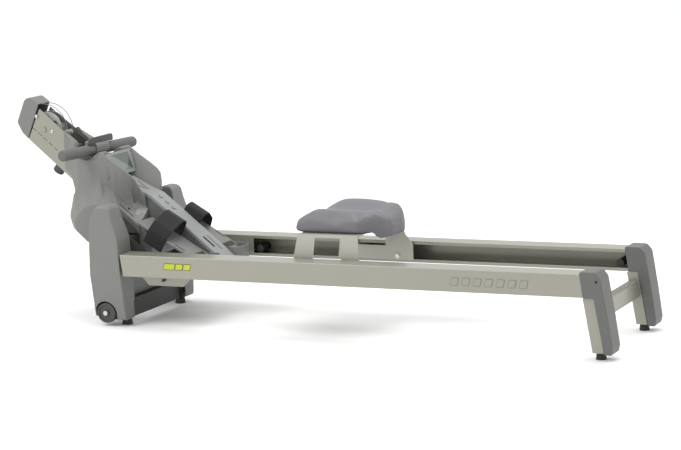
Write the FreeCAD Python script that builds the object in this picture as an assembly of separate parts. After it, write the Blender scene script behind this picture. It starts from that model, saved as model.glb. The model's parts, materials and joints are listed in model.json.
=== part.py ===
"""A folding rowing machine: every piece as its own solid, in millimetres.

Stations along X are measured from the line of the two front feet, and are moved to the
object's middle when the pieces are written. +X runs to the rear legs, -Y is the rower's
right-hand side as they face the machine, +Z is up and the floor is z = 0.
"""
import FreeCAD
import Part
import math
import os

V = FreeCAD.Vector

# ---- driving dimensions, mm ------------------------------------------------------------
MIDDLE_X = 626.7            # station of the middle of the whole machine
RAIL_OUT = 270.0            # outer face of a rail, from the middle plane
RAIL_W = 80.0               # width of a rail's flanges
RAIL_H = 74.0               # height of a rail
RAIL_T = 3.0                # sheet thickness of a rail
RAIL_TOP = 256.0            # height of a rail's top face at station 0
RAIL_RISE_DEG = 0.62        # the rails rise slightly to the rear
RAIL_FRONT = 24.0           # station of the rails' front ends
RAIL_REAR = 1661.0          # station of the rails' rear ends
PIVOT_X = 62.0              # fold pivot of the rails
PIVOT_Z = 236.0
PIVOT_R = 8.0               # radius of the pivot axle

BOOM_SLOPE_DEG = -39.0      # slope of the boom and of the spine
BOOM_HALF = 38.0            # half width of the boom over its side plates
PLATE_T = 3.0
PULLEY_X = -400.0           # strap pulley at the boom's head
PULLEY_Z = 644.0
PULLEY_R = 61.0
ROLLER_X = -306.2           # guide roller where the strap leaves the boom
ROLLER_Z = 636.0
ROLLER_R = 10.0
STRAP_W = 25.0
STRAP_T = 1.6

STRAP_FAR_X = -236.0        # where the strap is stitched to the handle
STRAP_FAR_Z = 600.0
GUARD_R = 2.0               # wire over the strap pulley
TIE_BARS = ((-300.0, 560.0), (-110.0, 440.0), (-80.0, 320.0))
CAP_SCREW = (-428.0, 690.5)

DRUM_X = -195.0             # strap drum and drive pulley
DRUM_Z = 455.0
DRUM_R = 30.0
DRUM_RIM_R = 40.0
DRIVE_R = 55.0
FLY_X = -148.0              # flywheel and its small pulley
FLY_Z = 342.0
FLYWHEEL_R = 80.0
WEB_R = 58.0                # the flywheel's thin web, and its ring of holes
WEB_HOLES_R = 40.0
SMALL_R = 18.0
SHAFT_R = 8.0
BELT_T = 2.5
BELT_GAP = 0.4              # the belt is drawn just clear of its pulleys

KNOB_FOOT = (-352.0, 518.0)     # resistance knob under the boom
KNOB_DOWN = V(-0.629, 0, -0.777)
KNOB_R = 20.0
KNOB_LEN = 27.0

BODY_HALF = 108.0           # half width of the tower's plastic shell
WALL = 3.0                  # wall of the plastic shells
SPINE_HALF = 46.0           # half width of the spine cover between the feet

LEG_IN = 176.0              # inner and outer face of a front leg cover
LEG_OUT = 268.0
LEG_SPLIT = 200.0           # the cover's two halves meet here
TUBE_IN = 182.0             # upright tube inside the leg cover
TUBE_OUT = 222.0
TUBE_X0 = -34.0
TUBE_X1 = 4.0
CHANNEL_TOP = 84.0          # top of the cross channel between the uprights
FOOT_Y = 190.0
FOOT_R = 19.0
FOOT_H = 20.0
FOOT_OFFSET = 8.0           # the foot's stud stands a little ahead of station 0

CASTOR_X = -57.0            # transport wheel
CASTOR_Z = 47.0
CASTOR_R = 35.0
CASTOR_Y = 236.0
CASTOR_W = 26.0
ARCH_R = CASTOR_R + 5         # the leg cover's arch over the wheel

REAR_LEG_Y = 224.5          # middle of a rear leg
REAR_LEG_W = 68.0
REAR_FOOT_X = 1716.0

HANDLE_X = -205.5           # middle of the pull handle at rest
HANDLE_Z = 577.0
HANDLE_HALF = 245.0
HANDLE_TILT_DEG = 1.5       # it rests with its far end a little lower
GRIP_R = 19.5
BAR_R = 9.0

TROLLEY_HALF = 184.0        # half width of the seat trolley over its side plates
ROLLER_SEAT_R = 19.0
ROLLER_SEAT_Y = 213.0
ROLLER_SEAT_W = 24.0
ROLLER_FRONT_X = 680.0      # stations of the seat's front and rear rollers
ROLLER_REAR_X = 850.0

PEDAL_IN = 52.0             # inner and outer edge of a foot plate
PEDAL_OUT = 160.0
PEDAL_AXLE_X = 118.0
PEDAL_AXLE_Z = 281.0
STRAP_BAND_W = 77.0         # foot strap: its width, and its place along the foot plate
STRAP_BAND_X = 45.0

BUTTON_R = 7.0
RUNNING_GAP = 0.05          # radial clearance of a shaft in its bore

SIDES = (("right", -1.0), ("left", 1.0))


# ---- helpers ---------------------------------------------------------------------------
def box(x0, x1, y0, y1, z0, z1):
    """A box between two corners."""
    return Part.makeBox(x1 - x0, abs(y1 - y0), z1 - z0, V(x0, min(y0, y1), z0))


def rod(x, z, radius, y0, y1):
    """A round bar along Y."""
    return Part.makeCylinder(radius, abs(y1 - y0), V(x, min(y0, y1), z), V(0, 1, 0))


def pin(base, radius, length, direction):
    """A round bar from a point along any direction."""
    return Part.makeCylinder(radius, length, base, direction)


def ring(x, z, outer, inner, y0, y1):
    """A round bar along Y with a bore through it."""
    low, high = min(y0, y1), max(y0, y1)
    return rod(x, z, outer, low, high).cut(rod(x, z, inner, low - 1, high + 1))


def rounded(points):
    """A closed wire through (a, b, radius) corners, each rounded by its radius."""
    count = len(points)
    edges = []
    starts, ends = [], []
    for i, (a, b, radius) in enumerate(points):
        here = V(a, b, 0)
        before = (V(points[i - 1][0], points[i - 1][1], 0) - here).normalize()
        after_point = points[(i + 1) % count]
        after = (V(after_point[0], after_point[1], 0) - here).normalize()
        if radius <= 0:
            starts.append(here)
            ends.append(here)
            continue
        half = before.getAngle(after) / 2
        reach = radius / math.tan(half)
        first, last = here + before * reach, here + after * reach
        inward = (before + after).normalize()
        middle = here + inward * (radius / math.sin(half) - radius)
        edges.append(Part.Arc(first, middle, last).toShape())
        starts.append(first)
        ends.append(last)
    for i in range(count):
        a, b = ends[i], starts[(i + 1) % count]
        if a.distanceToPoint(b) > 1e-6:
            edges.append(Part.LineSegment(a, b).toShape())
    return Part.Wire(Part.__sortEdges__(edges))


def corners(points, radius=0.0):
    """Give every corner of an outline the same radius unless it has its own."""
    return [p if len(p) == 3 else (p[0], p[1], radius) for p in points]


def side(points, y0, y1, radius=0.0):
    """A side-view outline (x, z) drawn out along Y."""
    flat = Part.Face(rounded(corners(points, radius)))
    flat.rotate(V(0, 0, 0), V(1, 0, 0), 90)
    low, high = min(y0, y1), max(y0, y1)
    flat.translate(V(0, high, 0))
    return flat.extrude(V(0, low - high, 0))


def plan(points, z0, z1, radius=0.0):
    """A plan outline (x, y) drawn out along Z."""
    flat = Part.Face(rounded(corners(points, radius)))
    flat.translate(V(0, 0, z0))
    return flat.extrude(V(0, 0, z1 - z0))


def front(points, x0, x1, radius=0.0):
    """A front-view outline (y, z) drawn out along X."""
    flat = Part.Face(rounded(corners(points, radius)))
    flat.rotate(V(0, 0, 0), V(1, 0, 0), 90)
    flat.rotate(V(0, 0, 0), V(0, 0, 1), 90)
    flat.translate(V(x0, 0, 0))
    return flat.extrude(V(x1 - x0, 0, 0))


def mirrored(shape):
    """The same piece on the other side of the middle plane."""
    return shape.mirror(V(0, 0, 0), V(0, 1, 0))


def on_side(shape, sign):
    """A piece drawn for the left side (+Y), put on either side."""
    return shape if sign > 0 else mirrored(shape)


def fused(shapes):
    """Several overlapping shapes joined into one."""
    first, rest = shapes[0], shapes[1:]
    return first.multiFuse(rest).removeSplitter() if rest else first


def group(shapes):
    """Separate solids kept in one node."""
    return Part.makeCompound(shapes)


def along_boom(x, z, forward, out):
    """A point moved down the boom's slope and square to it."""
    angle = math.radians(BOOM_SLOPE_DEG)
    dx, dz = math.cos(angle), math.sin(angle)
    return x + forward * dx - out * dz, z + forward * dz + out * dx


PARTS = {}


# ---- steel base, front legs and transport wheels ------------------------------------------
def square_tube(x0, x1, y0, y1, z0, z1, wall, axis):
    """A rectangular tube open at both ends of one axis."""
    low = [x0 + wall, y0 + wall, z0 + wall]
    high = [x1 - wall, y1 - wall, z1 - wall]
    low[axis] -= 2 * wall
    high[axis] += 2 * wall
    inner = box(low[0], high[0], low[1], high[1], low[2], high[2])
    return box(x0, x1, y0, y1, z0, z1).cut(inner)


def base_frame():
    """Uprights, cross channel, upper cross tube, castor brackets and fold lugs, welded."""
    members = [square_tube(TUBE_X0, TUBE_X1, -TUBE_IN, TUBE_IN, 262, 300, 2.5, 1)]
    members.append(box(-6, -2, -TUBE_IN, TUBE_IN, FOOT_H, CHANNEL_TOP))
    members.append(box(TUBE_X0, -2, -TUBE_IN, TUBE_IN, CHANNEL_TOP - 4, CHANNEL_TOP))
    for _, sign in SIDES:
        upright = square_tube(TUBE_X0, TUBE_X1, TUBE_IN, TUBE_OUT, FOOT_H, 300, 2.5, 2)
        sole = box(TUBE_X0, TUBE_X1, TUBE_IN, TUBE_OUT, FOOT_H, FOOT_H + 4)
        bracket = side([(-74, 30), (-34, 30), (-34, 120), (-58, 84), (-74, 62)], 204, 208, 4)
        lug = side([(-34, 300), (4, 300), (74, 252), (78, 224), (52, 218), (4, 262), (-34, 262)],
                   168, 173, 3)
        members += [on_side(piece, sign) for piece in (upright, sole, bracket, lug)]
    frame = fused(members)
    for _, sign in SIDES:
        frame = frame.cut(on_side(rod(PIVOT_X, PIVOT_Z, PIVOT_R + 0.3, 160, 180), sign))
        frame = frame.cut(on_side(rod(CASTOR_X, CASTOR_Z, 4.2, 200, 212), sign))
        frame = frame.cut(pin(V(0 - FOOT_OFFSET, sign * FOOT_Y, 10), 4.2, 20, V(0, 0, 1)))
    return frame


LEG_SIDE = [(-100, 30, 8), (-105, 183, 60), (-102, 290, 80), (-100, 372, 40), (-76, 421, 36),
            (-26, 424, 26), (-14, 370, 60), (9, 300, 40), (15, 190, 90), (19, 22, 6),
            (-60, 22, 4)]
LEG_FRONT = [(LEG_IN, 22, 3), (244, 22, 8), (266, 180, 60), (LEG_OUT, 300, 60), (256, 424, 20),
             (190, 424, 14), (LEG_IN, 330, 30)]
LEG_SIDE_INNER = [(-96, 20), (-101, 183), (-98, 290), (-96, 372, 36), (-74, 417, 32),
                  (-29, 420, 22), (-18, 370), (5, 300), (11, 190), (14.5, 20)]
LEG_FRONT_INNER = [(LEG_IN + WALL, 18), (240.5, 18), (262.5, 180), (264.5, 300), (252, 420),
                   (193, 420), (LEG_IN + WALL, 330)]


def leg_cover(sign):
    """The inner and outer half of one front leg's cover, with the castor's arch."""
    outer = side(LEG_SIDE, 170, 280).common(front(LEG_FRONT, -160, 40))
    inner = side(LEG_SIDE_INNER, 160, 290).common(front(LEG_FRONT_INNER, -170, 50))
    shell = outer.cut(inner)
    shell = shell.cut(rod(CASTOR_X, CASTOR_Z, ARCH_R, LEG_IN + 6, 300))
    shell = shell.cut(box(CASTOR_X - ARCH_R, CASTOR_X + ARCH_R, LEG_IN + 6, 300, 0, CASTOR_Z))
    shell = shell.cut(box(TUBE_X0 - 1, TUBE_X1 + 1, 160, TUBE_IN, CHANNEL_TOP - 8, 301))
    shell = shell.cut(box(-12, 30, 160, TUBE_IN, 0, CHANNEL_TOP + 1))
    halves = []
    for y0, y1 in ((160, LEG_SPLIT - 0.1), (LEG_SPLIT + 0.1, 300)):
        half = shell.common(box(-200, 60, y0, y1, 0, 500))
        halves += half.Solids
    return [on_side(half, sign) for half in halves]


def front_feet():
    """Rubber feet with their studs."""
    feet = []
    for _, sign in SIDES:
        base = V(-FOOT_OFFSET, sign * FOOT_Y, 0)
        pad = Part.makeCone(FOOT_R, FOOT_R - 3, FOOT_H, base)
        feet.append(pad.fuse(pin(base, 4, FOOT_H + 14, V(0, 0, 1))))
    return group(feet)


def castor(sign):
    """A transport wheel with a grooved hub face."""
    near, far = CASTOR_Y - CASTOR_W / 2, CASTOR_Y + CASTOR_W / 2
    wheel = rod(CASTOR_X, CASTOR_Z, CASTOR_R, near, far)
    wheel = wheel.makeFillet(3, [e for e in wheel.Edges if e.Length > 6 * CASTOR_R])
    wheel = wheel.cut(ring(CASTOR_X, CASTOR_Z, CASTOR_R - 7, 12, far - 4, far + 1))
    wheel = wheel.cut(rod(CASTOR_X, CASTOR_Z, 4 + RUNNING_GAP, near - 1, far + 1))
    return on_side(wheel, sign)


def pivot_bolts():
    """The two fold pivot bolts and the two castor bolts."""
    bolts = []
    for _, sign in SIDES:
        fold = rod(PIVOT_X, PIVOT_Z, PIVOT_R, 160, 210)
        fold = fold.fuse(rod(PIVOT_X, PIVOT_Z, 13, 210, 216))
        fold = fold.fuse(rod(PIVOT_X, PIVOT_Z, 12, 154, 166))
        wheel = rod(CASTOR_X, CASTOR_Z, 4, 198, 250.5)
        wheel = wheel.fuse(rod(CASTOR_X, CASTOR_Z, 8, 250.5, 254))
        wheel = wheel.fuse(rod(CASTOR_X, CASTOR_Z, 7, 196, 203))
        bolts += [on_side(fold, sign), on_side(wheel, sign)]
    return group(bolts)


def front_panel():
    """The thin closing panel between the uprights, behind the cross channel."""
    low = CHANNEL_TOP + 1
    return front([(-165, low, 2), (165, low, 2), (165, 256, 2), (114, 256, 2), (114, 208, 2),
                  (-114, 208, 2), (-114, 256, 2), (-165, 256, 2)], -32, -29)


def lower_parts():
    """Everything below the tower that doesn't fold."""
    PARTS["base_frame"] = base_frame()
    PARTS["front_feet"] = front_feet()
    PARTS["pivot_bolts"] = pivot_bolts()
    covers = []
    for name, sign in SIDES:
        covers += leg_cover(sign)
        PARTS["castor_" + name] = castor(sign)
    PARTS["leg_covers"] = group(covers + [front_panel()])


# ---- boom, strap and drive ------------------------------------------------------------------
PLATE_SIDE = [(-416, 717), (-60, 429), (2, 379), (2, 300), (-100, 300), (-182, 312),
              (-240, 427), (-464.5, 609.5)]


def boom_plate(sign):
    """One side plate of the boom, with an ear for the guide roller and its bores."""
    low, high = BOOM_HALF - PLATE_T, BOOM_HALF
    plate = side(PLATE_SIDE, low, high, 2)
    ear = rod(ROLLER_X, ROLLER_Z, 11, low, high)
    plate = plate.fuse(ear).removeSplitter()
    for x, z, radius in ((PULLEY_X, PULLEY_Z, 6.2), (ROLLER_X, ROLLER_Z, 4.2),
                         (DRUM_X, DRUM_Z, SHAFT_R + 1), (FLY_X, FLY_Z, SHAFT_R + 1)):
        plate = plate.cut(rod(x, z, radius, low - 1, high + 1))
    for x, z in TIE_BARS:
        plate = plate.cut(rod(x, z, 4.2, low - 1, high + 1))
    plate = plate.cut(rod(*CAP_SCREW, 3.2, low - 1, high + 1))
    return on_side(plate, sign)


def boom_bolts():
    """Bars with bolt heads that hold the side plates apart, and the cap's two short screws."""
    bars = []
    for x, z in TIE_BARS:
        bar = rod(x, z, 7, -BOOM_HALF + PLATE_T, BOOM_HALF - PLATE_T)
        bar = bar.fuse(rod(x, z, 4, -BOOM_HALF - 1, BOOM_HALF + 1))
        for sign in (-1, 1):
            bar = bar.fuse(rod(x, z, 7, sign * BOOM_HALF, sign * (BOOM_HALF + 4)))
        bars.append(bar)
    for _, sign in SIDES:
        screw = rod(*CAP_SCREW, 6.5, BOOM_HALF + 0.2, BOOM_HALF + 3.5)
        screw = screw.fuse(rod(*CAP_SCREW, 3, BOOM_HALF - 8, BOOM_HALF + 1))
        bars.append(on_side(screw, sign))
    return group(bars)


def boom_floor():
    """The closing strip along the boom's underside, with the knob's bore."""
    a, b = (-455, 603.5), (-262, 447)
    c, d = (b[0] + 1.9, b[1] + 2.4), (a[0] + 1.9, a[1] + 2.4)
    strip = side([a, b, c, d], -BOOM_HALF + PLATE_T, BOOM_HALF - PLATE_T)
    x, z = along_boom(*KNOB_FOOT, 0, 6)
    return strip.cut(pin(V(x, 0, z), 8.1, 20, KNOB_DOWN))


def resistance_knob():
    """The load knob under the boom, on its stem."""
    foot = V(KNOB_FOOT[0], 0, KNOB_FOOT[1])
    stem = pin(foot - KNOB_DOWN * 4, 8, 14, KNOB_DOWN)
    knob = pin(foot + KNOB_DOWN * 8, KNOB_R, KNOB_LEN, KNOB_DOWN)
    knob = knob.makeFillet(3, [e for e in knob.Edges if e.Length > 100])
    return stem.fuse(knob)


CAP_SIDE = [(-509, 668, 14), (-474, 752, 24), (-449, 757, 14), (-418, 735, 0), (-467.5, 611, 0),
            (-490, 632, 14)]
CAP_INNER = [(-504, 668, 10), (-472, 747, 20), (-449, 752, 10), (-405, 722, 0), (-455, 600, 0),
             (-487, 636, 10)]


def boom_cap():
    """The moulded nose over the boom's upper end."""
    outer = side(CAP_SIDE, -BOOM_HALF - 1, BOOM_HALF + 1)
    return outer.cut(side(CAP_INNER, -BOOM_HALF + 2, BOOM_HALF - 2))


def boom_axles():
    """The strap pulley's axle and the guide roller's axle, with their heads."""
    pulley = rod(PULLEY_X, PULLEY_Z, 6, -BOOM_HALF - 1, BOOM_HALF + 1)
    guide = rod(ROLLER_X, ROLLER_Z, 4, -BOOM_HALF - 1, BOOM_HALF + 1)
    for sign in (-1, 1):
        pulley = pulley.fuse(rod(PULLEY_X, PULLEY_Z, 9, sign * BOOM_HALF, sign * (BOOM_HALF + 4)))
        guide = guide.fuse(rod(ROLLER_X, ROLLER_Z, 6.5, sign * BOOM_HALF,
                               sign * (BOOM_HALF + 3)))
    return group([pulley, guide])


def spool(x, z, bore, tread, rim, half, flange):
    """A pulley with two flanges: its tread lies between them."""
    body = rod(x, z, tread, -half, half)
    for sign in (-1, 1):
        body = body.fuse(rod(x, z, rim, sign * half, sign * (half - flange)))
    return body.removeSplitter().cut(rod(x, z, bore, -half - 1, half + 1))


def strap_pulley():
    """The large strap pulley with six lightening holes."""
    wheel = spool(PULLEY_X, PULLEY_Z, 6 + RUNNING_GAP, PULLEY_R - 3.5, PULLEY_R, 17, 3)
    for step in range(6):
        angle = math.radians(60 * step + 30)
        x, z = PULLEY_X + 36 * math.cos(angle), PULLEY_Z + 36 * math.sin(angle)
        wheel = wheel.cut(rod(x, z, 12, -20, 20))
    return wheel


def strap_leaves():
    """Where the strap leaves the pulley for the handle: (x, z)."""
    reach = PULLEY_R - 3.5 + STRAP_T / 2 + 0.3
    dx, dz = STRAP_FAR_X - PULLEY_X, STRAP_FAR_Z - PULLEY_Z
    angle = math.atan2(dz, dx) - math.asin(reach / math.hypot(dx, dz))
    return PULLEY_X - reach * math.sin(angle), PULLEY_Z + reach * math.cos(angle)


def bar_between(x0, z0, x1, z1, thick, y0, y1):
    """A flat strip between two points of the side view."""
    length = math.hypot(x1 - x0, z1 - z0)
    nx, nz = -(z1 - z0) / length * thick / 2, (x1 - x0) / length * thick / 2
    points = [(x0 + nx, z0 + nz), (x0 - nx, z0 - nz), (x1 - nx, z1 - nz), (x1 + nx, z1 + nz)]
    return side(points, y0, y1)


def pull_strap():
    """The strap's free stretch from the pulley to the handle."""
    x, z = strap_leaves()
    return bar_between(x, z, STRAP_FAR_X, STRAP_FAR_Z, STRAP_T, -STRAP_W / 2, STRAP_W / 2)


def strap_run():
    """The strap round the pulley, down the boom, and wound on the drum."""
    half = STRAP_W / 2
    reach = PULLEY_R - 3.5 + STRAP_T / 2 + 0.3
    wound = DRUM_R + 3.5
    dx, dz = DRUM_X - PULLEY_X, DRUM_Z - PULLEY_Z
    span = math.hypot(dx, dz)
    angle = math.atan2(dz, dx) + math.asin((reach - wound) / span)
    nx, nz = math.sin(angle), -math.cos(angle)
    x0, z0 = PULLEY_X + reach * nx, PULLEY_Z + reach * nz
    x1, z1 = DRUM_X + wound * nx, DRUM_Z + wound * nz
    inner = bar_between(x0, z0, x1, z1, STRAP_T, -half, half)
    lx, lz = strap_leaves()
    arc = ring(PULLEY_X, PULLEY_Z, reach + STRAP_T / 2, reach - STRAP_T / 2, -half, half)
    far = 3 * PULLEY_R
    wedge = [(PULLEY_X, PULLEY_Z), (lx + (lx - PULLEY_X) * 2, lz + (lz - PULLEY_Z) * 2),
             (PULLEY_X + far * 2, PULLEY_Z), (PULLEY_X + nx * far, PULLEY_Z + nz * far)]
    arc = arc.cut(side(wedge, -half - 1, half + 1))
    coil = ring(DRUM_X, DRUM_Z, wound + STRAP_T / 2, DRUM_R + 0.4, -half, half)
    return inner.fuse(arc).fuse(coil).removeSplitter()


def drive_parts():
    """Drum, shafts, pulleys, belt, flywheel, magnet and recoil spring."""
    PARTS["strap_drum"] = spool(DRUM_X, DRUM_Z, SHAFT_R + RUNNING_GAP, DRUM_R, DRUM_RIM_R, 15, 2)
    PARTS["drum_shaft"] = rod(DRUM_X, DRUM_Z, SHAFT_R, -66, 46)
    bearings = []
    for x, z in ((DRUM_X, DRUM_Z), (FLY_X, FLY_Z)):
        for sign in (-1, 1):
            bearings.append(ring(x, z, 15, SHAFT_R + RUNNING_GAP, sign * 34.9, sign * 27))
    PARTS["shaft_bearings"] = group(bearings)
    wheel = ring(DRUM_X, DRUM_Z, DRIVE_R, SHAFT_R, -60, -48)
    for step in range(5):
        angle = math.radians(72 * step)
        hole = rod(DRUM_X + 32 * math.cos(angle), DRUM_Z + 32 * math.sin(angle), 11, -61, -47)
        wheel = wheel.cut(hole)
    PARTS["drive_pulley"] = wheel
    shaft = rod(FLY_X, FLY_Z, SHAFT_R, -66, 76)
    PARTS["flywheel_shaft"] = shaft.fuse(rod(FLY_X, FLY_Z, SMALL_R, -60, -48))
    PARTS["flywheel"] = flywheel()
    PARTS["drive_belt"] = belt()
    PARTS["brake_magnets"] = brake_magnets()
    PARTS["recoil_spring"] = recoil_spring()


def flywheel():
    """A cast flywheel: heavy rim, thin web with six holes, and a hub."""
    wheel = ring(FLY_X, FLY_Z, FLYWHEEL_R, SHAFT_R, 46, 70)
    wheel = wheel.cut(ring(FLY_X, FLY_Z, WEB_R, 22, 45, 53))
    wheel = wheel.cut(ring(FLY_X, FLY_Z, WEB_R, 22, 63, 71))
    for step in range(6):
        angle = math.radians(60 * step)
        x, z = FLY_X + WEB_HOLES_R * math.cos(angle), FLY_Z + WEB_HOLES_R * math.sin(angle)
        wheel = wheel.cut(rod(x, z, 12, 45, 71))
    return wheel


def hull_of_circles(r0, r1, y0, y1):
    """The drawn-out outline of a belt round the drive pulley and the small pulley."""
    dx, dz = FLY_X - DRUM_X, FLY_Z - DRUM_Z
    span = math.hypot(dx, dz)
    heading, lean = math.atan2(dz, dx), math.asin((r0 - r1) / span)
    points = []
    for way in (1, -1):
        angle = heading + way * (math.pi / 2 - lean)
        points.append(((DRUM_X + r0 * math.cos(angle), DRUM_Z + r0 * math.sin(angle)),
                       (FLY_X + r1 * math.cos(angle), FLY_Z + r1 * math.sin(angle))))
    (a, b), (d, c) = points
    middle = side([a, b, c, d], y0, y1)
    return middle.fuse(rod(DRUM_X, DRUM_Z, r0, y0, y1)).fuse(rod(FLY_X, FLY_Z, r1, y0, y1))


def belt():
    """A flat ribbed belt from the drive pulley to the flywheel's small pulley."""
    reach = BELT_GAP + BELT_T
    outer = hull_of_circles(DRIVE_R + reach, SMALL_R + reach, -59, -49)
    inner = hull_of_circles(DRIVE_R + BELT_GAP, SMALL_R + BELT_GAP, -60, -48)
    return outer.cut(inner).removeSplitter()


def brake_magnets():
    """The magnet shoe beside the flywheel's rim."""
    shoe = ring(FLY_X, FLY_Z, FLYWHEEL_R + 9, FLYWHEEL_R + 2, 44, 72)
    return shoe.common(side([(FLY_X, FLY_Z), (FLY_X - 160, FLY_Z + 60), (FLY_X - 160, FLY_Z - 50)],
                            40, 80))


def recoil_spring():
    """The flat coil spring that rewinds the drum, in its closed can."""
    return ring(DRUM_X, DRUM_Z, 32, SHAFT_R + 0.5, 16, 26)


def strap_guard():
    """The bent wire over the pulley that keeps the strap on it."""
    y = STRAP_W / 2 + 5.5
    arc = Part.Arc(V(-423.5, y, 742), V(-362, y, 718), V(-312, y, 646)).toShape()
    path = Part.Wire([arc])
    circle = Part.Circle(V(-423.5, y, 742), arc.tangentAt(arc.FirstParameter), GUARD_R).toShape()
    return path.makePipeShell([Part.Wire([circle])], True, False)


def boom_parts():
    """The boom, its pulley and its strap."""
    for name, sign in SIDES:
        PARTS["boom_plate_" + name] = boom_plate(sign)
    PARTS["boom_floor"] = boom_floor()
    PARTS["boom_cap"] = boom_cap()
    PARTS["boom_bolts"] = boom_bolts()
    PARTS["boom_axles"] = boom_axles()
    PARTS["strap_pulley"] = strap_pulley()
    PARTS["guide_roller"] = ring(ROLLER_X, ROLLER_Z, ROLLER_R, 4 + RUNNING_GAP, -16, 16)
    PARTS["pull_strap"] = pull_strap()
    PARTS["strap_run"] = strap_run()
    PARTS["strap_guard"] = strap_guard()
    PARTS["resistance_knob"] = resistance_knob()


# ---- tower shell, spine, console -------------------------------------------------------------
SHELL_SIDE = [(-318, 650, 6), (-318, 505, 15), (-284, 490, 20), (-264, 440, 30),
              (-281, 372, 40), (-255, 318, 40), (-208, 272, 40), (-140, 235, 30),
              (-60, 215, 10), (38, 215, 10), (60, 288, 8), (-125, 441, 15), (-132, 488, 8),
              (-106, 490, 2), (-137, 567, 6), (-168, 551, 8), (-232, 551, 14),
              (-262, 606, 10)]
SHELL_INNER = [(-330, 646, 0), (-330, 508, 0), (-280, 492, 16), (-260, 440, 26),
               (-277, 372, 36), (-251, 320, 36), (-205, 275, 36), (-139, 238, 26),
               (-60, 218, 8), (35, 218, 8), (56, 287, 6), (-128, 439, 12), (-136, 486, 6),
               (-113, 494, 1), (-140, 562, 4), (-168, 547, 6), (-234, 547, 12),
               (-265, 603, 8)]
SHELL_PLAN = [(-318, 0), (-318, 44), (-285, 62), (-240, 88), (-180, 104, 60), (-100, BODY_HALF, 60),
              (24, BODY_HALF, 20), (46, 96, 10), (62, 60, 6), (62, 0)]
SHELL_PLAN_INNER = [(-330, 0), (-330, 39), (-318, 41), (-284, 59), (-239, 85), (-179, 101, 57),
                    (-100, BODY_HALF - WALL, 57), (23, BODY_HALF - WALL, 17), (43, 94, 8),
                    (58, 58, 4), (58, 0)]
WINGS = ((-153, 560, 99), (-149, 578, 99), (-138, 581, 99), (-95, 548, 99), (-52, 521, 99),
         (-22, 500, 97), (-9, 484, 94), (-3, 464, 87), (8, 434, 66))
WING_FOOT_IN, WING_T = 46.4, 7.0
SPINE_SIDE = [(-100, 482, 4), (-30, 448, 12), (28, 424, 14), (100, 368, 30), (270, 234, 20),
              (304, 206, 10), (292, 188, 6), (240, 190, 12), (72, 287, 3), (-96, 424, 2)]
SPINE_INNER = [(-97, 477, 2), (-31, 444.5, 10), (27, 420.5, 12), (98.5, 365, 28),
               (268, 231.5, 18), (299, 206.5, 7), (290, 191, 4), (241, 193, 10), (73, 290, 2),
               (-93, 426, 1)]
BAR_SIDE = [(-22.9, 378.2), (-37.1, 351.8), (254.9, 194.8), (269.1, 221.2)]
BAR_INNER = [(-21.9, 375.4), (-34.5, 352), (256, 198), (266.5, 219)]
CONSOLE_TOP = (-137.0, 567.0)
CONSOLE_FOOT = (-106.0, 490.0)
KEYS = (("mode", 38.0), ("set", 62.0), ("reset", 86.0))


def wing():
    """The left cheek beside the display: it stands on the deck by the spine and flares out."""
    rings = []
    for x, top, reach in WINGS:
        deck = 438 - (x + 125) * 0.827
        bend = 447 - (x + 100) * 0.594
        foot = WING_FOOT_IN
        points = [V(x, foot + WING_T, deck), V(x, foot + WING_T, bend), V(x, reach, top),
                  V(x, reach - WING_T, top), V(x, foot, bend), V(x, foot, deck)]
        rings.append(Part.makePolygon(points + points[:1]))
    return Part.makeLoft(rings, True, True).cut(side(console_outline(0.4, 9.6), -82.5, 82.5))


def shell_solid():
    """The left half of the tower's hollow shell with its cheek, open where the boom enters."""
    outer = side(SHELL_SIDE, 0.1, 150).common(plan(SHELL_PLAN, 150, 700))
    inner = side(SHELL_INNER, -1, 150).common(plan(SHELL_PLAN_INNER, 150, 700))
    half = outer.fuse(wing()).cut(inner)
    half = half.cut(box(TUBE_X0 - 1, TUBE_X1 + 1, -1, 150, 261, 301))
    half = half.cut(box(-40, 80, -1, BOOM_HALF - 2, 280, 400))
    slot = side([(-330, 700), (-330, 470), (-250, 400), (-200, 450), (-262, 612), (-262, 700)],
                -1, BOOM_HALF + 0.5)
    half = half.cut(slot)
    half = half.cut(side(PLATE_SIDE, BOOM_HALF - PLATE_T - 0.5, BOOM_HALF + 0.5))
    half = half.cut(rod(ROLLER_X, ROLLER_Z, 13, -1, BOOM_HALF + 6))
    return max(half.Solids, key=lambda solid: solid.Volume)


def spine_cover():
    """The hollow fairing between the feet, with key bores and the pedal axle's bores."""
    outer = side(SPINE_SIDE, -SPINE_HALF, SPINE_HALF)
    inner = side(SPINE_INNER, -SPINE_HALF + WALL, SPINE_HALF - WALL)
    cover = outer.cut(inner)
    cover = cover.cut(side([(-60, 420), (-60, 330), (50, 270), (82, 280), (60, 318), (-10, 375)],
                           -38.5, 38.5))
    cover = cover.cut(side(PLATE_SIDE, -38.5, 38.5))
    cover = cover.cut(rod(PEDAL_AXLE_X, PEDAL_AXLE_Z, 8, -60, 60))
    for _, x in KEYS:
        point, square = key_place(x)
        cover = cover.cut(pin(point - square * 20, BUTTON_R + 0.4, 40, square))
    return cover


def key_place(x):
    """The point on the spine's top face at a station, and the direction square to it."""
    (x0, z0), (x1, z1) = SPINE_SIDE[2][:2], SPINE_SIDE[3][:2]
    slope = (z1 - z0) / (x1 - x0)
    length = math.hypot(1, slope)
    return V(x, 0, z0 + slope * (x - x0)), V(-slope / length, 0, 1 / length)


def key(x):
    """A round push button whose skirt stops inside the cover."""
    point, square = key_place(x)
    cap = pin(point - square * 6.5, BUTTON_R, 9, square)
    return cap.fuse(pin(point - square * 8.5, BUTTON_R + 2, 2.5, square))


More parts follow.
